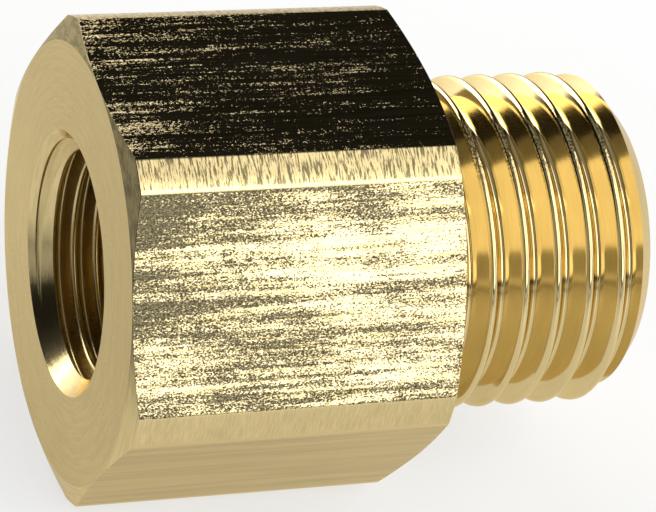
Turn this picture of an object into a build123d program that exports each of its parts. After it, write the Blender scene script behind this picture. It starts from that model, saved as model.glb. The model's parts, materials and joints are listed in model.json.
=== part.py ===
from build123d import *
from math import radians, tan
import os

# A one-piece brass hex bushing, lying on a flat of its hexagon.
# The axis is X, and the origin is on it at the shoulder, where the hexagon ends and the outside
# thread begins. The inside thread opens towards -X, and +Z is up.

# Hexagonal head
across_flats = 17.0
corner_rise = 0.95  # how far the turned corners stand out past the flats
head_length = 13.0
head_chamfer_angle = 17.0  # at both ends, measured from the end face

# Outside thread
male_major = 13.157
male_pitch = 1.337
male_length = 9.0  # shoulder to end face
male_collar = 0.5  # plain stretch beside the shoulder
male_lead_in = 1.0  # length of the chamfer at the end
male_end_diameter = 10.9
male_crest_place = 0.395  # x of one crest on the top side, which sets the turn of the thread

# Inside thread
female_minor = 8.566
female_pitch = 0.907
female_depth = 7.0  # end face to where the thread begins to run out
female_plain = 2.5  # plain tapping bore past the thread
female_root_place = -12.43  # x of one root on the top side, which sets the turn of the thread
countersink_diameter = 10.2
countersink_angle = 45.0  # from the axis

# Passage through the threaded end
flow_diameter = 7.0
drill_point_angle = 118.0
exit_chamfer = 0.4

# Both threads are parallel and right-handed, and share this form
thread_angle = 55.0
tip_share = 1 / 6  # of the sharp triangle's height, cut off at crest and root alike
crest_gap = 0.015  # how far the crests stay clear of the plain walls
ridge_bite = 0.1  # how far a ridge is set into the body that carries it
runout_angle = 60.0  # from the axis
spare_turns = 2  # turns of a ridge past each place where it ends

flank_slope = tan(radians(thread_angle / 2))
runout_slope = tan(radians(runout_angle))
form_height = (1 - 2 * tip_share) / (2 * flank_slope)  # for a pitch of 1

flat_radius = across_flats / 2
corner_radius = flat_radius + corner_rise
chamfer_length = (corner_radius - flat_radius) * tan(radians(head_chamfer_angle))

male_radius = male_major / 2
male_height = form_height * male_pitch
male_root = male_radius - male_height
male_runout = male_collar + male_height / runout_slope
male_end_radius = male_end_diameter / 2
lead_in_slope = (male_radius - male_end_radius) / male_lead_in
male_spare = spare_turns * male_pitch

tapping_radius = female_minor / 2
female_height = form_height * female_pitch
female_root = tapping_radius + female_height
female_runout = female_height / runout_slope
female_end = female_depth - head_length
plain_start = female_end + female_runout
plain_end = plain_start + female_plain
female_spare = spare_turns * female_pitch
countersink_radius = countersink_diameter / 2
countersink_end = (countersink_radius - tapping_radius) / tan(radians(countersink_angle)) - head_length

flow_radius = flow_diameter / 2
flow_start = plain_end + (tapping_radius - flow_radius) / tan(radians(drill_point_angle / 2))


# A ridge that winds right-handed about X, and whose middle is at x = first on the top side
def thread_ridge(pitch, foot, crest, first, last):
    half_crest = pitch * tip_share / 2
    half_foot = half_crest + (crest - foot) * flank_slope
    with BuildPart() as ridge:
        with BuildLine() as path:
            Helix(pitch, last - first, foot, center=(first, 0, 0), direction=(1, 0, 0))
        with BuildSketch(Plane.XZ) as section:
            with BuildLine():
                Polyline(
                    (first - half_foot, foot),
                    (first - half_crest, crest),
                    (first + half_crest, crest),
                    (first + half_foot, foot),
                    close=True,
                )
            make_face()
        sweep(section.sketch, path=path.line, is_frenet=True)
    return ridge.part


male_ridge = thread_ridge(
    male_pitch,
    male_root - ridge_bite,
    male_radius - crest_gap,
    male_crest_place - male_spare,
    male_length + male_spare,
)
female_ridge = thread_ridge(
    female_pitch,
    tapping_radius - ridge_bite,
    female_root,
    female_root_place - female_spare,
    plain_start + female_spare,
)

# Shank with the outside thread. Its inner end lies buried in the head.
with BuildPart() as threaded_shank:
    buried_start = -2 * male_spare
    shank_end = male_length + 2 * male_spare
    with BuildSketch(Plane.XZ):
        with BuildLine():
            Polyline(
                (buried_start, 0),
                (buried_start, male_root),
                (shank_end, male_root),
                (shank_end, 0),
                close=True,
            )
        make_face()
    revolve(axis=Axis.X)
    add(male_ridge)
    # Collar beside the shoulder, and the cone on which the thread runs out
    with BuildSketch(Plane.XZ):
        with BuildLine():
            Polyline(
                (buried_start, 0),
                (buried_start, male_radius),
                (male_collar, male_radius),
                (male_runout, male_root),
                (male_runout, 0),
                close=True,
            )
        make_face()
    revolve(axis=Axis.X)
    # End face and its chamfer, which cut the shank and the ridge to length
    with BuildSketch(Plane.XZ):
        with BuildLine():
            Polyline(
                (male_length, 0),
                (male_length, male_end_radius),
                (male_length - 2 * male_lead_in, male_end_radius + 2 * male_lead_in * lead_in_slope),
                (shank_end + male_pitch, male_end_radius + 2 * male_lead_in * lead_in_slope),
                (shank_end + male_pitch, 0),
                close=True,
            )
        make_face()
    revolve(axis=Axis.X, mode=Mode.SUBTRACT)

# The space inside the female thread. Its core is wider than the plain bore by the crest gap, and
# tapers a little, and its ridge is the groove that the thread leaves between its crests.
with BuildPart() as threaded_space:
    core_start = -head_length - 2 * female_spare
    core_end = plain_start + 2 * female_spare
    with BuildSketch(Plane.XZ):
        with BuildLine():
            Polyline(
                (core_start, 0),
                (core_start, tapping_radius + 2 * crest_gap),
                (core_end, tapping_radius + crest_gap),
                (core_end, 0),
                close=True,
            )
        make_face()
    revolve(axis=Axis.X)
    add(female_ridge)
    # It ends in a cone, on which the thread runs out
    with BuildSketch(Plane.XZ):
        with BuildLine():
            Polyline(
                (female_end - female_runout, female_root + female_height),
                (plain_start + female_runout, tapping_radius - female_height),
                (plain_start + female_runout, 0),
                (core_end + female_pitch, 0),
                (core_end + female_pitch, female_root + female_height),
                close=True,
            )
        make_face()
    revolve(axis=Axis.X, mode=Mode.SUBTRACT)

with BuildPart() as hex_bushing:
    # Hexagon, with flats facing up and down
    with BuildSketch(Plane.YZ.offset(-head_length)):
        RegularPolygon(flat_radius, 6, major_radius=False)
    extrude(amount=head_length)

    # Its corners are turned to a cylinder, and a shallow cone at each end just touches the flats
    with BuildSketch(Plane.XZ):
        with BuildLine():
            Polyline(
                (-head_length, 0),
                (-head_length, flat_radius),
                (chamfer_length - head_length, corner_radius),
                (-chamfer_length, corner_radius),
                (0, flat_radius),
                (0, 0),
                close=True,
            )
        make_face()
    revolve(axis=Axis.X, mode=Mode.INTERSECT)
    add(threaded_shank.part)

    # Tapping bore with its drill point, and the passage with its chamfered mouth
    with BuildSketch(Plane.XZ):
        with BuildLine():
            Polyline(
                (plain_start - female_pitch, 0),
                (plain_start - female_pitch, tapping_radius),
                (plain_end, tapping_radius),
                (flow_start, flow_radius),
                (male_length - exit_chamfer, flow_radius),
                (male_length, flow_radius + exit_chamfer),
                (male_length, 0),
                close=True,
            )
        make_face()
    revolve(axis=Axis.X, mode=Mode.SUBTRACT)

    # Female thread, and the countersink at its mouth
    add(threaded_space.part, mode=Mode.SUBTRACT)
    with BuildSketch(Plane.XZ):
        with BuildLine():
            Polyline(
                (-head_length, 0),
                (-head_length, countersink_radius),
                (countersink_end, tapping_radius),
                (countersink_end, 0),
                close=True,
            )
        make_face()
    revolve(axis=Axis.X, mode=Mode.SUBTRACT)

hex_bushing.part.label = "hex_bushing"
print("solids", len(hex_bushing.solids()), "valid", hex_bushing.part.is_valid)
print("volume", round(hex_bushing.part.volume, 2), hex_bushing.part.bounding_box())

os.makedirs("parts", exist_ok=True)
export_step(hex_bushing.part, "parts/hex_bushing.step")
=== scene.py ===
import json
import math

import bmesh
import bpy
from mathutils import Matrix, Vector

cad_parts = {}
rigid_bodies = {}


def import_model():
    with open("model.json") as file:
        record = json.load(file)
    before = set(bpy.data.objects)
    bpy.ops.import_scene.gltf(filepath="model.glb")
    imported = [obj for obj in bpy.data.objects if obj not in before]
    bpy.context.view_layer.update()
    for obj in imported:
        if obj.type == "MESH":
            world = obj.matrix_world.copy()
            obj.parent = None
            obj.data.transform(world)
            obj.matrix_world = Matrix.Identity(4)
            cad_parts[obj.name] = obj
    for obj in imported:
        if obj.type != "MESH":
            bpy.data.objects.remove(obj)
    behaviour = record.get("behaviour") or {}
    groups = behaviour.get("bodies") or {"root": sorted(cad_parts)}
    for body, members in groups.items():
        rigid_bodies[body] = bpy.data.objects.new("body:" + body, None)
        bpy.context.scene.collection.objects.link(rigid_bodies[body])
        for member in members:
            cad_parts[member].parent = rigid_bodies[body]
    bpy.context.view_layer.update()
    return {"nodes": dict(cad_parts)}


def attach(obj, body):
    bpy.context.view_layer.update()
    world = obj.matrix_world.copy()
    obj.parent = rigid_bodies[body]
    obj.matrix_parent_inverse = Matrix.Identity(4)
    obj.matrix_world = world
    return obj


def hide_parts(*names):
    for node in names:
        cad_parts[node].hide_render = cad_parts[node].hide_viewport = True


for leftover in list(bpy.data.objects):
    bpy.data.objects.remove(leftover)
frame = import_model()
print("frame loaded:", sorted(frame["nodes"]))

scene = bpy.context.scene
mm = 0.001

# One slot for each kind of surface, in the order of the mesh's material slots
surfaces = ["flats", "corners", "endFace", "chamfer", "shoulder", "countersink",
            "insideThread", "bore", "outsideThread", "leadIn"]
slotOf = {name: number for number, name in enumerate(surfaces)}
facedSurfaces = ("endFace", "chamfer", "shoulder")  # their tool marks are rings on a face


def tangent(degrees):
    return math.tan(math.radians(degrees))


# The values go to the node's sockets in their order, and the settings to the node itself
def addNode(tree, kind, *values, **settings):
    node = tree.nodes.new("ShaderNode" + kind)
    for name, value in settings.items():
        setattr(node, name, value)
    for socket, value in enumerate(values):
        connect(tree, node.inputs[socket], value)
    return node


def connect(tree, socket, value):
    if isinstance(value, bpy.types.NodeSocket):
        tree.links.new(value, socket)
    elif value is not None:
        socket.default_value = value


def calculate(tree, operation, *values):
    return addNode(tree, "Math", *values, operation=operation).outputs[0]


def multiply(tree, one, two):
    return calculate(tree, "MULTIPLY", one, two)


def addScaled(tree, start, value, scale):
    return calculate(tree, "MULTIPLY_ADD", value, scale, start)


# Goes from low to high while the share goes from 0 to 1
def between(tree, share, low, high):
    return addScaled(tree, low, share, high - low)


# Rises from 0 to 1, or falls, while the value goes from one number to the other
def fade(tree, value, zero, one):
    node = addNode(tree, "MapRange", value, zero, one, 0.0, 1.0, interpolation_type="SMOOTHSTEP")
    return node.outputs[0]


# Noise with so many marks per unit of the first value, and so many of the two beside it
def pattern(tree, along, beside, marks, detail=2.0, roughness=0.6):
    lengthwise, crosswise = marks
    scales = (lengthwise, crosswise, crosswise)
    scaled = [multiply(tree, value, scale) for value, scale in zip((along, *beside), scales)]
    vector = addNode(tree, "CombineXYZ", *scaled).outputs[0]
    return addNode(tree, "TexNoise", vector, None, 1.0, detail, roughness).outputs["Fac"]


def blendColours(tree, share, one, two):
    mix = addNode(tree, "Mix", data_type="RGBA")
    connect(tree, mix.inputs["Factor"], share)
    connect(tree, mix.inputs["A"], one)
    connect(tree, mix.inputs["B"], two)
    return mix.outputs["Result"]


def newMaterial(name):
    material = bpy.data.materials.new(name)
    material.use_nodes = True
    material.node_tree.nodes.clear()
    return material, material.node_tree


# Where a point lies, in mm: along the axis, up, and out from the axis. Across and up are the
# shares of its direction from the axis, so a pattern that reads them goes round the axis.
def place(tree):
    local = addNode(tree, "TexCoord").outputs["Object"]
    point = addNode(tree, "VectorMath", local, (1 / mm, 1 / mm, 1 / mm), operation="MULTIPLY")
    x, y, z = addNode(tree, "SeparateXYZ", point.outputs[0]).outputs
    out = calculate(tree, "SQRT", addScaled(tree, multiply(tree, z, z), y, y))
    across = calculate(tree, "DIVIDE", y, out)
    up = calculate(tree, "DIVIDE", z, out)
    return {"x": x, "z": z, "out": out, "across": across, "up": up,
            "straight": (y, z), "round": (across, up)}


brassColours = {
    "clean": (0.72, 0.575, 0.29, 1),
    # a paler brass painted on the upper flats only, as painted light
    "paintedLightBrass": (0.77, 0.64, 0.37, 1),
    "worn": (0.80, 0.65, 0.35, 1),
    "dull": (0.53, 0.42, 0.198, 1),
    "dark": (0.055, 0.050, 0.028, 1),
    "rim": (0.95, 0.86, 0.68, 1),  # keeps the metal yellow where it is seen at a low angle
}


# Goes from a colour to one of the brass colours while the share goes from 0 to 1
def tint(tree, share, colour, name):
    return blendColours(tree, share, colour, brassColours[name])


def metalShader(tree, colour, roughness, height, depth):
    bump = addNode(tree, "Bump")
    bump.inputs["Strength"].default_value = 1.0
    bump.inputs["Distance"].default_value = depth * mm
    connect(tree, bump.inputs["Height"], height)
    shader = addNode(tree, "BsdfPrincipled")
    shader.inputs["Metallic"].default_value = 1.0
    shader.inputs["Specular Tint"].default_value = brassColours["rim"]
    connect(tree, shader.inputs["Base Color"], colour)
    connect(tree, shader.inputs["Roughness"], roughness)
    connect(tree, shader.inputs["Normal"], bump.outputs[0])
    addNode(tree, "OutputMaterial", shader.outputs[0])


# Drawn bar, on the wrench flats: scored along the axis, and rough with small torn grains that
# gather in bands and patches. Where a pair of numbers is for a fade, here and below, it is 0 at
# the first and 1 at the second.
drawnBar = {
    "marks": {  # per mm, along the bar and across it
        "grain": (12.5, 19.0),
        "speckle": (2.2, 5.0),
        "score": (0.35, 13.0),
        "band": (0.12, 2.7),
        "patch": (0.35, 0.40),
    },
    "gather": {  # how far each decides where the grains are torn
        "patch": 0.30,
        "band": 0.68,
        "x": -0.008,  # they are rarer near the shoulder
        "upperEdge": 0.06,
        "speckle": 0.20,
        "score": 0.40,
        "grain": 0.92,
        "topFlat": -0.265,  # and sparse on the top flat
    },
    "torn": (1.22, 1.41),
    "topFlat": (8.0, 8.4),  # heights in mm
    "upperEdge": (5.8, 7.2),
    "upperHalf": (-0.7, 0.5),
    "tornColour": 0.98,  # how far the torn grains are darkened, as painted shade
    "topTornColour": 0.0,  # the same on the top flat, where they are pale
    "tornShade": (0.40, 0.62),
    "palestTorn": 0.78,
    "shine": (0.3, 0.6),
    "lowerShine": 0.2,
    "streaks": (0.65, 0.35),
    "lowerShadeAndStreaks": (0.07, 0.27),  # painted shade of the lower flats, between their streaks, and on them
    "wornEdge": (9.25, 9.42),  # distances from the axis in mm
    "edgeWear": 0.6,
    "depth": 0.006,  # in mm
    "scoreDepth": 0.3,  # as a share of it
    "roughness": (0.04, 0.10),
    "tornRoughness": 0.36,
}


def drawnBrass():
    material, tree = newMaterial("drawnBrass")
    at = place(tree)
    found = {"x": at["x"]}
    for name, marks in drawnBar["marks"].items():
        found[name] = pattern(tree, at["x"], at["straight"], marks)
    for name in ("topFlat", "upperEdge", "upperHalf"):
        found[name] = fade(tree, at["z"], *drawnBar[name])
    upper = found["upperHalf"]
    gather = 0.0
    for name, weight in drawnBar["gather"].items():
        gather = addScaled(tree, gather, found[name], weight)
    torn = multiply(tree, fade(tree, gather, *drawnBar["torn"]), upper)
    # Painted shade: torn grains darkened, most where the grain is strongest, but not on the top flat
    dark = between(tree, found["topFlat"], drawnBar["tornColour"], drawnBar["topTornColour"])
    shade = fade(tree, found["grain"], *drawnBar["tornShade"])
    dark = multiply(tree, dark, between(tree, shade, drawnBar["palestTorn"], 1.0))
    # Painted light: the upper flats paler, the lower ones duller and darker, with soft olive streaks
    bright = blendColours(tree, upper, brassColours["clean"], brassColours["paintedLightBrass"])
    shine = fade(tree, found["score"], *drawnBar["shine"])
    shine = multiply(tree, shine, between(tree, upper, drawnBar["lowerShine"], 1.0))
    colour = blendColours(tree, shine, brassColours["dull"], bright)
    streaks = between(tree, fade(tree, found["band"], *drawnBar["streaks"]), *drawnBar["lowerShadeAndStreaks"])
    streaks = multiply(tree, streaks, calculate(tree, "SUBTRACT", 1.0, upper))
    colour = tint(tree, streaks, colour, "dark")
    wearAndShade = multiply(tree, fade(tree, at["out"], *drawnBar["wornEdge"]), drawnBar["edgeWear"])
    colour = tint(tree, wearAndShade, colour, "worn")
    # the torn grains' painted shade
    colour = tint(tree, multiply(tree, torn, dark), colour, "dark")
    smoothest, roughest = drawnBar["roughness"]
    roughness = between(tree, found["score"], smoothest, roughest)
    roughness = addScaled(tree, roughness, torn, drawnBar["tornRoughness"] - smoothest)
    height = multiply(tree, torn, found["grain"])
    height = addScaled(tree, height, found["score"], drawnBar["scoreDepth"])
    metalShader(tree, colour, roughness, height, drawnBar["depth"])
    return material


# Turned and faced surfaces, with fine tool marks that run round the axis: how many to the mm and
# how broken they are on their way round, their depth in mm, the lowest and highest roughness, and
# how far the marks, and then the whole, are dulled
toolMarks = {
    "corners": {"marks": (18, 14), "depth": 0.005, "roughness": (0.10, 0.20),
                "streak": 0.5, "dull": 0.08},
    "endFace": {"marks": (10, 4), "depth": 0.0015, "roughness": (0.22, 0.34),
                "streak": 0.3, "dull": 0.6},
    "chamfer": {"marks": (10, 5), "depth": 0.004, "roughness": (0.20, 0.30),
                "streak": 0.4, "dull": 0.05},
    "shoulder": {"marks": (8, 4), "depth": 0.002, "roughness": (0.20, 0.32),
                 "streak": 0.2, "dull": 0.4},
    "countersink": {"marks": (9, 4), "depth": 0.006, "roughness": (0.16, 0.23),
                    "streak": 0.35, "dull": 0.0},
    "insideThread": {"marks": (12, 3), "depth": 0.001, "roughness": (0.22, 0.34),
                     "streak": 0.35, "dull": 0.4},
    "bore": {"marks": (10, 3), "depth": 0.002, "roughness": (0.20, 0.32),
             "streak": 0.35, "dull": 0.3},
    "outsideThread": {"marks": (14, 3), "depth": 0.0008, "roughness": (0.08, 0.14),
                      "streak": 0.12, "dull": 0.12},
    "leadIn": {"marks": (10, 3), "depth": 0.001, "roughness": (0.20, 0.30),
               "streak": 0.1, "dull": 0.0},
}

# What all of them share, and then the strokes and scuffs, and the painted shade, that only one
# of them has. Up and across are shares of the direction from the axis, and heights and distances are in
# mm.
toolWearAndShade = {
    "streaks": (0.60, 0.40),
    "cloudMarks": (0.9, 2.0),
    "clouds": (0.65, 0.35),
    "cloudDull": 0.2,
    "corners": {
        "marks": (13.0, 17.0),
        "strokes": (0.46, 0.58),
        "strokesUp": (0.829, 0.842),
        "strokesDark": 0.8,
        "rimBegins": (0.820, 0.824),  # a smooth bright rim lies at the lower edge of the strokes
        "rimEnds": (0.840, 0.832),
        "rimRoughness": 0.06,
    },
    "chamfer": {
        "marks": (5.0, 14.0),
        "streaks": (0.35, 0.65),
        "paintedShade": (0.68, 0.88),  # painted shade, in place of a dark edge it mirrors: between its streaks, and on them
        "paintedShadeUp": (-0.1, 0.5),
    },
    # the end face's painted shade, which grows towards the top
    "endFace": {"paintedShadeHeight": (-6.0, 6.0), "paintedShade": 0.22},
    "outsideThread": {
        "marks": (16.0, 60.0),
        "scuffs": (0.47, 0.55),
        "scuffsOut": (6.38, 6.50),
        "frontSide": (0.10, -0.05),
        "lowestFront": (-0.55, -0.35),
        "topSide": (0.0, 0.1),
        "scuffsDark": 0.8,
    },
}


# The upper corners carry deep dark strokes, but for the rim
def strokedCorners(tree, at, finish):
    wearAndShade = toolWearAndShade["corners"]
    strokes = pattern(tree, at["x"], at["round"], wearAndShade["marks"], detail=3.0)
    strokes = fade(tree, strokes, *wearAndShade["strokes"])
    strokes = multiply(tree, strokes, fade(tree, at["up"], *wearAndShade["strokesUp"]))
    strokes = multiply(tree, strokes, wearAndShade["strokesDark"])
    finish["colour"] = tint(tree, strokes, finish["colour"], "dark")
    rim = fade(tree, at["up"], *wearAndShade["rimBegins"])
    rim = multiply(tree, rim, fade(tree, at["up"], *wearAndShade["rimEnds"]))
    smoother = wearAndShade["rimRoughness"] - toolMarks["corners"]["roughness"][1]
    finish["roughness"] = addScaled(tree, finish["roughness"], rim, smoother)
    finish["height"] = multiply(tree, finish["height"], calculate(tree, "SUBTRACT", 1.0, rim))


# Painted shade: the upper part of the chamfer is darkened in streaks, in place of a dark edge that it
# mirrors
def paintedShadeOnChamfer(tree, at, finish):
    wearAndShade = toolWearAndShade["chamfer"]
    streaks = pattern(tree, at["out"], at["round"], wearAndShade["marks"], detail=3.0)
    paintedShade = between(tree, fade(tree, streaks, *wearAndShade["streaks"]), *wearAndShade["paintedShade"])
    paintedShade = multiply(tree, fade(tree, at["up"], *wearAndShade["paintedShadeUp"]), paintedShade)
    finish["colour"] = tint(tree, paintedShade, finish["colour"], "dark")


# Painted shade: the end face is darkened a little towards the top
def paintedShadeOnEndFace(tree, at, finish):
    wearAndShade = toolWearAndShade["endFace"]
    paintedShade = multiply(tree, fade(tree, at["z"], *wearAndShade["paintedShadeHeight"]), wearAndShade["paintedShade"])
    finish["colour"] = tint(tree, paintedShade, finish["colour"], "dark")


# The crests are scuffed along the top, on the front side
def scuffedThread(tree, at, finish):
    wearAndShade = toolWearAndShade["outsideThread"]
    scuffs = pattern(tree, at["x"], at["round"], wearAndShade["marks"])
    scuffs = fade(tree, scuffs, *wearAndShade["scuffs"])
    scuffs = multiply(tree, scuffs, fade(tree, at["out"], *wearAndShade["scuffsOut"]))
    front = fade(tree, at["across"], *wearAndShade["frontSide"])
    front = multiply(tree, front, fade(tree, at["across"], *wearAndShade["lowestFront"]))
    front = multiply(tree, front, fade(tree, at["up"], *wearAndShade["topSide"]))
    scuffs = multiply(tree, multiply(tree, scuffs, front), wearAndShade["scuffsDark"])
    finish["colour"] = tint(tree, scuffs, finish["colour"], "dark")


def turnedBrass(name):
    tool = toolMarks[name]
    material, tree = newMaterial(name + "Brass")
    at = place(tree)
    along = at["out"] if name in facedSurfaces else at["x"]
    fine = pattern(tree, along, at["round"], tool["marks"], detail=3.0)
    cloud = pattern(tree, along, at["round"], toolWearAndShade["cloudMarks"], detail=3.0, roughness=0.5)
    dull = addScaled(tree, tool["dull"], fade(tree, fine, *toolWearAndShade["streaks"]), tool["streak"])
    dull = addScaled(tree, dull, fade(tree, cloud, *toolWearAndShade["clouds"]), toolWearAndShade["cloudDull"])
    finish = {
        "colour": blendColours(tree, dull, brassColours["clean"], brassColours["dull"]),
        "roughness": between(tree, cloud, *tool["roughness"]),
        "height": fine,
    }
    if name == "corners":
        strokedCorners(tree, at, finish)
    elif name == "chamfer":
        paintedShadeOnChamfer(tree, at, finish)
    elif name == "endFace":
        paintedShadeOnEndFace(tree, at, finish)
    elif name == "outsideThread":
        scuffedThread(tree, at, finish)
    metalShader(tree, finish["colour"], finish["roughness"], finish["height"], tool["depth"])
    return material


finishes = [drawnBrass() if name == "flats" else turnedBrass(name) for name in surfaces]
print("finishes made:", len(finishes))

# The bushing lies along X with its shoulder at 0, and is shaped in mm. Sizes are in mm and
# degrees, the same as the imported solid's, and then come those that the solid leaves out.
bushing = {
    "acrossFlats": 17.0,
    "cornerRise": 0.947,  # 0.003 less than the solid's, whose mesh is a little smaller too
    "headLength": 13.0,
    "headChamfer": 17.0,
    "maleMajor": 13.157,
    "malePitch": 1.337,
    "maleLength": 9.0,
    "maleCollar": 0.5,
    "maleLeadIn": 1.0,
    "maleEndDiameter": 10.9,
    "maleCrestPlace": 0.395,  # x of one crest on the top side, which sets the turn of the thread
    "femaleMinor": 8.566,
    "femalePitch": 0.907,
    "femaleDepth": 7.0,
    "femalePlain": 2.5,
    "femaleRootPlace": -12.43,  # the same for one root of the inside thread
    "countersinkDiameter": 10.2,
    "flowDiameter": 7.0,
    "drillPoint": 118.0,
    "exitChamfer": 0.4,
    "runout": 60.0,
    "threadAngle": 55.0,
    "threadDepth": 0.640327,  # crest to root, as a share of the pitch
    "threadRounding": 0.137329,  # the radius of crest and root, as a share of the pitch
    "edgeRadius": 0.02,  # of the head's edges
    "cornerSoftness": 0.02,  # where a flat and the turned corner meet
    "endRounding": 0.03,  # of the end of the lead-in
    "endRoundingCut": 0.008,  # how much of the corner it takes off
    "edgeHolding": 0.06,  # how far from a rounded edge points keep the flat flat, and share of the cone
    "flankHolding": 0.08,  # the same on the flanks of a thread, as a share of their length
    "sharpAbove": 28.0,  # faces that meet at more than this show an edge
    "turnedSteps": 180,  # how many faces go round
    "threadSteps": 144,
    "roundingSteps": 6,
    "flatColumns": 12,  # columns of points in half a flat of the head, where it ends, and past it
    "edgeColumns": 8,
    "cornerColumns": 3,
    "edgeBegins": 0.97,  # the columns of the edge, as shares of the turn from the flat's middle
    "edgeSpan": 0.06,
    "edgeEnds": 1.03,
    "shankStart": -3.0,  # the shank and its collar begin inside the head
    "collarStart": -2.0,
    "spare": 1.0,  # how far a shape reaches past what it cuts
    "collarCone": 1.2,  # how deep the collar's cone goes, as a share of the thread's depth
    "merge": 0.0001,  # points closer than this are made one
    "mergeTurns": 0.004,  # the same between the turns of a thread
}


def newObject(name, work):
    mesh = bpy.data.meshes.new(name)
    work.to_mesh(mesh)
    work.free()
    piece = bpy.data.objects.new(name, mesh)
    scene.collection.objects.link(piece)
    for finish in finishes:
        mesh.materials.append(finish)
    print(name, "shaped:", len(mesh.polygons), "faces")
    return piece


# Spins a row of points about X, into a closed shape or, with a pitch, into one turn of a screw
def spun(row, steps, pitch=0):
    work = bmesh.new()
    points = [work.verts.new(point) for point in row]
    lines = [work.edges.new(pair) for pair in zip(points, points[1:])]
    bmesh.ops.spin(work, geom=points + lines, cent=(0, 0, 0), axis=(1, 0, 0),
                   dvec=(pitch / steps, 0, 0), angle=math.tau, steps=steps, use_merge=pitch == 0)
    return work


# A solid whose outline is a row of points (x, radius), closed to the axis at both ends. The
# slots name the surfaces from the first of these lines to the last.
def turned(name, outline, slots):
    row = [(outline[0][0], 0), *outline, (outline[-1][0], 0)]
    steps = bushing["turnedSteps"]
    work = spun([(x, radius, 0) for x, radius in row], steps)
    bmesh.ops.remove_doubles(work, verts=work.verts, dist=bushing["merge"])
    bmesh.ops.recalc_face_normals(work, faces=work.faces)
    for face in work.faces:
        middle = face.calc_center_median()
        radius = math.hypot(middle.y, middle.z) / math.cos(math.pi / steps)
        face.material_index = slotOf[nearestSlot(row, slots, middle.x, radius)]
    return newObject(name, work)


def nearestSlot(row, slots, x, radius):
    def apart(number):
        (xa, ra), (xb, rb) = row[number:number + 2]
        along = ((x - xa) * (xb - xa) + (radius - ra) * (rb - ra)) / ((xb - xa) ** 2 + (rb - ra) ** 2)
        along = min(max(along, 0), 1)
        return math.hypot(x - xa - along * (xb - xa), radius - ra - along * (rb - ra))

    return slots[min(range(len(slots)), key=apart)]


# One pitch of a rounded thread form, from the middle of one root to the middle of the next
def threadForm(pitch, crest, root):
    steps = bushing["roundingSteps"]
    middle = steps // 2
    half = math.radians(bushing["threadAngle"] / 2)
    rounding = bushing["threadRounding"] * pitch
    turns = [-math.pi / 2 + half + (math.pi - 2 * half) * step / steps for step in range(steps + 1)]
    top = [(rounding * math.sin(turn), crest - rounding + rounding * math.cos(turn)) for turn in turns]
    low = [(rounding * math.sin(turn), root + rounding - rounding * math.cos(turn)) for turn in turns]
    left = [(x - pitch / 2, radius) for x, radius in low[middle:]]
    right = [(x + pitch / 2, radius) for x, radius in low[:middle + 1]]
    # Two more points on each flank, close to its ends, keep it flat under smooth shading
    shares = (bushing["flankHolding"], 1 - bushing["flankHolding"])
    rising = [Vector(left[-1]).lerp(Vector(top[0]), share)[:] for share in shares]
    falling = [Vector(top[-1]).lerp(Vector(right[0]), share)[:] for share in shares]
    return left + rising + top + falling + right


# A rod whose surface is the thread, cut square at low and high. The turns reach past both cuts.
def threadedRod(name, pitch, crest, root, first, low, high, surface):
    turns = math.ceil((high - low) / pitch) + 3
    start = first - (math.ceil((first - low) / pitch) + 1) * pitch
    form = threadForm(pitch, crest, root)
    work = spun([(start + x, 0, radius) for x, radius in form], bushing["threadSteps"], pitch)
    oneTurn = work.verts[:] + work.edges[:] + work.faces[:]
    for turn in range(1, turns):
        again = bmesh.ops.duplicate(work, geom=oneTurn)["geom"]
        moved = [part for part in again if isinstance(part, bmesh.types.BMVert)]
        bmesh.ops.translate(work, verts=moved, vec=(turn * pitch, 0, 0))
    bmesh.ops.remove_doubles(work, verts=work.verts, dist=bushing["mergeTurns"])
    for cut, side in ((low, -1), (high, 1)):
        whole = work.verts[:] + work.edges[:] + work.faces[:]
        sliced = bmesh.ops.bisect_plane(work, geom=whole, plane_co=(cut, 0, 0),
                                        plane_no=(side, 0, 0), clear_outer=True)
        rim = [part for part in sliced["geom_cut"] if isinstance(part, bmesh.types.BMEdge)]
        bmesh.ops.holes_fill(work, edges=rim, sides=0)
    bmesh.ops.recalc_face_normals(work, faces=work.faces)
    for face in work.faces:
        face.material_index = slotOf[surface]
    return newObject(name, work)


# The turns about the axis, in degrees, of the head's columns of points. The flats' middles lie
# at 30, 90 and so on, and the columns are closest where a flat meets a turned corner.
def columnTurns(edgeTurn):
    flatSteps, edgeSteps = bushing["flatColumns"], bushing["edgeColumns"]
    cornerSteps = bushing["cornerColumns"]
    begins, ends = bushing["edgeBegins"], edgeTurn * bushing["edgeEnds"]
    half = [edgeTurn * begins * step / flatSteps for step in range(flatSteps + 1)]
    half += [edgeTurn * (begins + bushing["edgeSpan"] * step / edgeSteps)
             for step in range(1, edgeSteps + 1)]
    half += [ends + (30 - ends) * step / cornerSteps for step in range(1, cornerSteps + 1)]
    sector = [-turn for turn in half[:0:-1]] + half[:-1]
    return [30 + 60 * side + turn for side in range(6) for turn in sector]


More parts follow.
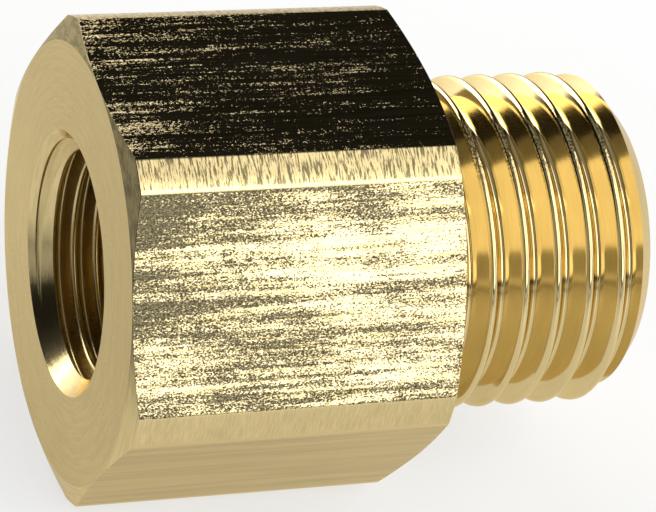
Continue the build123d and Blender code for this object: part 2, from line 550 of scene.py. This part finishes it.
# The hexagon is spun like the rest, and then each column of points is pulled in or out to the
# flat or the turned corner that lies there
def hexHead():
    flat = bushing["acrossFlats"] / 2
    corner = flat + bushing["cornerRise"]
    slope = tangent(bushing["headChamfer"])
    radius = bushing["edgeRadius"]
    holding = bushing["edgeHolding"]
    length = bushing["headLength"]
    edgeTurn = math.degrees(math.acos(flat / corner))
    columns = columnTurns(edgeTurn)

    # How far out the head reaches at a turn
    def reach(turn):
        straight = flat / math.cos(math.radians(turn % 60 - 30))
        return (straight + corner - math.hypot(straight - corner, bushing["cornerSoftness"])) / 2

    # A rounded edge, from the cone to the flat, with a point beside it on each that keeps them
    # flat. The side is -1 at the end face and 1 at the shoulder.
    def roundedEdge(edge, cone, side):
        alongCone = min(radius, cone * 0.999)  # it never takes all of the cone
        inward = Vector((side * slope, -1)).normalized() * alongCone
        start, end = edge + inward, edge - Vector((side * radius, 0))
        beside = (cone * math.hypot(slope, 1) - alongCone) * holding
        points = [start + inward.normalized() * beside]
        for share in (0, 0.25, 0.5, 0.75, 1):
            points.append(start * (1 - share) ** 2 + edge * 2 * share * (1 - share) + end * share ** 2)
        points.append(edge - Vector((side * (radius + holding), 0)))
        return [point[:] for point in points]

    # One column, from end face to shoulder. The cones shrink to nothing where the flat is lowest.
    def column(out):
        cone = max(out - flat, 0)
        left = roundedEdge(Vector((cone * slope - length, out)), cone, -1)
        right = roundedEdge(Vector((-cone * slope, out)), cone, 1)
        return [(-length, 0), (-length, flat), *left, *right[::-1], (0, flat), (0, 0)]

    first = column(corner)
    work = spun([(x, out, 0) for x, out in first], len(columns))
    numberOf = {(round(x, 3), round(out, 3)): number for number, (x, out) in enumerate(first)}
    rows = [column(reach(turn)) for turn in columns]
    for point in work.verts:
        out = math.hypot(point.co.y, point.co.z)
        number = numberOf[(round(point.co.x, 3), round(out, 3))]
        step = round(math.atan2(point.co.z, point.co.y) / math.tau * len(columns)) % len(columns)
        turn = math.radians(columns[step])
        x, out = rows[step][number]
        point.co = (x, out * math.cos(turn), out * math.sin(turn))
    for face in work.faces:
        face.material_index = slotOf[headSurface(face, edgeTurn)]
    bmesh.ops.remove_doubles(work, verts=work.verts, dist=bushing["merge"])
    bmesh.ops.dissolve_degenerate(work, edges=work.edges, dist=bushing["merge"] / 10)
    bmesh.ops.recalc_face_normals(work, faces=work.faces)
    return newObject("hexHead", work)


# Tells the faces of the head apart. Those of the ends face along X, and the chamfers and the
# rounded edges lean that way.
def headSurface(face, edgeTurn, facing=0.999, leaning=0.02):
    middle = face.calc_center_median()
    lean = abs(face.normal.x)
    if lean > facing:
        return "endFace" if middle.x < -bushing["headLength"] / 2 else "shoulder"
    if lean > leaning:
        return "chamfer"
    turn = math.degrees(math.atan2(middle.z, middle.y))
    return "corners" if abs(turn % 60 - 30) > edgeTurn else "flats"


def combine(body, tool, operation):
    step = body.modifiers.new("combine", "BOOLEAN")
    step.operation = operation
    step.object = tool
    step.solver = "MANIFOLD"
    graph = bpy.context.evaluated_depsgraph_get()
    result = bpy.data.meshes.new_from_object(body.evaluated_get(graph))
    body.modifiers.clear()
    body.data = result
    print(body.name, operation.lower(), tool.name + ":", len(result.polygons), "faces")
    bpy.data.objects.remove(tool)


def buildBushing():
    size = bushing
    spare = size["spare"]
    steep = tangent(size["runout"])
    length = size["headLength"]
    end = size["maleLength"]
    endRadius = size["maleEndDiameter"] / 2
    maleRadius = size["maleMajor"] / 2
    maleDepth = size["threadDepth"] * size["malePitch"]
    maleRoot = maleRadius - maleDepth
    tapping = size["femaleMinor"] / 2
    femaleRoot = tapping + size["threadDepth"] * size["femalePitch"]
    flow = size["flowDiameter"] / 2
    exitChamfer = size["exitChamfer"]
    sink = size["countersinkDiameter"] / 2

    head = hexHead()
    shank = threadedRod("shank", size["malePitch"], maleRadius, maleRoot, size["maleCrestPlace"],
                        size["shankStart"], end + spare, "outsideThread")
    fall = (maleRadius - endRadius) / size["maleLeadIn"]
    rounding, cut = size["endRounding"], size["endRoundingCut"]
    outside = turned("outside", [
        (size["shankStart"] - spare, maleRadius + spare),
        (end - spare - size["maleLeadIn"], maleRadius + spare * fall),
        (end - rounding, endRadius + rounding * fall),
        (end - cut, endRadius + cut * fall - cut),
        (end, endRadius - rounding),
    ], ["shoulder"] * 2 + ["leadIn"] * 4)
    combine(shank, outside, "INTERSECT")
    collar, cone = size["maleCollar"], size["collarCone"] * maleDepth
    plainCollar = turned("collar", [
        (size["collarStart"], maleRadius),
        (collar, maleRadius),
        (collar + cone / steep, maleRadius - cone),
    ], ["shoulder", "outsideThread", "outsideThread", "shoulder"])
    combine(shank, plainCollar, "UNION")
    combine(head, shank, "UNION")

    # The space inside the bushing is built in the same way, and then taken away
    plainStart = size["femaleDepth"] - length + (femaleRoot - tapping) / steep
    plainEnd = plainStart + size["femalePlain"]
    space = threadedRod("space", size["femalePitch"], femaleRoot, tapping, size["femaleRootPlace"],
                        -length - spare, plainStart + spare, "insideThread")
    beyond, inward = femaleRoot + spare, 1.5 * spare
    limit = turned("limit", [
        (-length - 2 * spare, beyond),
        (plainStart - (beyond - tapping) / steep, beyond),
        (plainStart + inward / steep, tapping - inward),
    ], ["bore"] * 4)
    combine(space, limit, "INTERSECT")
    plain = turned("plain", [
        (plainStart - spare, tapping),
        (plainEnd, tapping),
        (plainEnd + (tapping - flow) / tangent(size["drillPoint"] / 2), flow),
        (end - exitChamfer, flow),
        (end + spare, flow + exitChamfer + spare),
    ], ["bore"] * 6)
    combine(space, plain, "UNION")
    mouth = turned("mouth", [
        (-length - spare, sink + spare),
        (-length + sink - tapping + spare / 2, tapping - spare / 2),
    ], ["countersink"] * 3)
    combine(space, mouth, "UNION")
    combine(head, space, "DIFFERENCE")
    head.name = "hexBushing"
    return head


# Smooths all but the sharp edges, and brings the mm to metres
def finishPiece(piece):
    work = bmesh.new()
    work.from_mesh(piece.data)
    for face in work.faces:
        face.smooth = True
    openEdges = 0
    for line in work.edges:
        if len(line.link_faces) == 2:
            one, two = line.link_faces
            flowing = line.calc_face_angle(0) < math.radians(bushing["sharpAbove"])
            line.smooth = one.material_index == two.material_index and flowing
        else:
            openEdges += 1
    volume = work.calc_volume()
    bmesh.ops.scale(work, vec=(mm, mm, mm), verts=work.verts)
    work.to_mesh(piece.data)
    work.free()
    print(piece.name, "finished:", openEdges, "open edges,", round(volume, 2), "cubic mm")


bushingPiece = buildBushing()
finishPiece(bushingPiece)
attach(bushingPiece, "root")
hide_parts("hex_bushing")

# The studio. Each soft box stands upright round the bushing, and has the azimuth where it begins
# and ends, 0 in front and 90 at the right, its lowest and highest elevation, all in degrees as the
# bushing sees them, and its brightness, where 1 is white.
studio = {
    "distance": 0.5,
    "boxes": {
        "front": (0, 38, 9, 56, 1.9),
        "frontLow": (10, 32, 8, 24, 0.9),
        "frontHigh": (22, 51, 56, 70, 3.4),
        "frontRight": (38, 60, 21, 56, 2.1),
        "fill": (34, 62, 2, 21, 0.60),
        "right": (60, 112, 3, 58, 2.1),
        "rightHigh": (51, 112, 58, 77, 1.35),
        "rightBack": (112, 138, 8, 58, 0.25),
        "back": (166, 218, 0, 46, 4.0),
        "leftFront": (-66, -20, 3, 52, 0.4),
        "leftLow": (-88, -66, 1, 15, 0.5),
    },
    "floorReach": 1.5,
    "floor": (0.94, 0.94, 0.92, 1),
    "floorPale": (0.96, 0.96, 0.94, 1),
    "floorMarks": 40.0,
    "floorRoughness": 0.3,
    "floorGlow": (0.62, 1.0),  # how much of the floor's white shows, close by and further off
    "glowFrom": (0.012, 0.045),
    "floorSheen": 0.3,
    "floorFresnel": 1.45,
    "low": 0.70,  # how bright the room is near the floor, half way up and overhead
    "middle": 0.012,
    "dome": 0.30,
    "lowHeight": (0.10, 0.06),  # where these begin, as shares of a direction up, and to the right
    "lowSide": (-0.75, -0.50),
    "domeHeight": (0.77, 0.84),
}


def softBox(name, begin, end, lowest, highest, radiance):
    distance = studio["distance"]
    bottom, top = distance * tangent(lowest), distance * tangent(highest)
    lamp = bpy.data.lights.new(name + "Box", "AREA")
    lamp.shape = "RECTANGLE"
    lamp.size = 2 * distance * tangent((end - begin) / 2)
    lamp.size_y = top - bottom
    lamp.energy = radiance * math.pi * lamp.size * lamp.size_y
    box = bpy.data.objects.new(name + "Box", lamp)
    box.matrix_world = (Matrix.Rotation(math.radians((begin + end) / 2), 4, "Z")
                        @ Matrix.Translation((0, -distance, (bottom + top) / 2))
                        @ Matrix.Rotation(math.radians(90), 4, "X"))
    scene.collection.objects.link(box)


for name, values in studio["boxes"].items():
    softBox(name, *values)
print("soft boxes placed:", len(studio["boxes"]))


def floorPaint():
    material, tree = newMaterial("floorPaint")
    point = addNode(tree, "TexCoord").outputs["Object"]
    x, y, z = addNode(tree, "SeparateXYZ", point).outputs
    cloud = pattern(tree, x, (y, z), (studio["floorMarks"], studio["floorMarks"]), roughness=0.5)
    colour = blendColours(tree, cloud, studio["floor"], studio["floorPale"])
    paint = addNode(tree, "BsdfDiffuse", colour, studio["floorRoughness"])
    glow = addNode(tree, "Emission", (1, 1, 1, 1), 1.0)
    ray = addNode(tree, "LightPath").outputs
    mirrored = calculate(tree, "MAXIMUM", ray["Is Glossy Ray"], ray["Is Transmission Ray"])
    seen = calculate(tree, "MAXIMUM", ray["Is Camera Ray"], mirrored)
    away = addNode(tree, "VectorMath", point, operation="LENGTH").outputs["Value"]
    share = between(tree, fade(tree, away, *studio["glowFrom"]), *studio["floorGlow"])
    share = multiply(tree, seen, share)
    matt = addNode(tree, "MixShader", share, paint.outputs[0], glow.outputs[0])
    # The metal also sees the sheen that a pale floor has at a low angle
    sheen = addNode(tree, "BsdfGlossy")
    sheen.inputs["Roughness"].default_value = studio["floorSheen"]
    fresnel = addNode(tree, "Fresnel", studio["floorFresnel"]).outputs[0]
    sheenShare = multiply(tree, fresnel, ray["Is Glossy Ray"])
    surface = addNode(tree, "MixShader", sheenShare, matt.outputs[0], sheen.outputs[0])
    addNode(tree, "OutputMaterial", surface.outputs[0])
    return material


work = bmesh.new()
bmesh.ops.create_grid(work, x_segments=1, y_segments=1, size=studio["floorReach"])
bmesh.ops.translate(work, verts=work.verts, vec=(0, 0, -bushing["acrossFlats"] / 2 * mm))
floorMesh = bpy.data.meshes.new("floor")
work.to_mesh(floorMesh)
work.free()
floor = bpy.data.objects.new("floor", floorMesh)
scene.collection.objects.link(floor)
floorMesh.materials.append(floorPaint())
print("floor laid")

# The room is pale low down and grey overhead, and dim between them, where the soft boxes shine
room = bpy.data.worlds.new("room")
scene.world = room
room.use_nodes = True
tree = room.node_tree
tree.nodes.clear()
direction = addNode(tree, "TexCoord").outputs["Generated"]
side, _, lift = addNode(tree, "SeparateXYZ", direction).outputs
pale = multiply(tree, fade(tree, lift, *studio["lowHeight"]), fade(tree, side, *studio["lowSide"]))
walls = addScaled(tree, studio["middle"], pale, studio["low"])
walls = addScaled(tree, walls, fade(tree, lift, *studio["domeHeight"]), studio["dome"])
addNode(tree, "OutputWorld", addNode(tree, "Background", walls).outputs[0])

# The camera looks down at the left front. It is turned about its own axis, because the
# photograph is tilted.
view = {
    "eye": (-50.537, -95.952, 86.421),  # in mm
    "right": (0.9353, -0.2970, 0.1922),
    "ahead": (0.3498, 0.6947, -0.6285),
    "focalPixels": 3528.69,
    "photoWidth": 656,
    "sensor": 36,
    "nearest": 0.001,
}
ahead = Vector(view["ahead"]).normalized()
right = Vector(view["right"]).normalized()
right = (right - ahead * right.dot(ahead)).normalized()
above = right.cross(ahead)
lens = bpy.data.cameras.new("camera")
lens.sensor_width = view["sensor"]
lens.lens = view["focalPixels"] * view["sensor"] / view["photoWidth"]
lens.clip_start = view["nearest"]
camera = bpy.data.objects.new("camera", lens)
camera.matrix_world = Matrix((right, above, -ahead)).transposed().to_4x4()
camera.matrix_world.translation = Vector(view["eye"]) * mm
scene.collection.objects.link(camera)
scene.camera = camera
scene.view_settings.view_transform = "Standard"
print("camera placed")
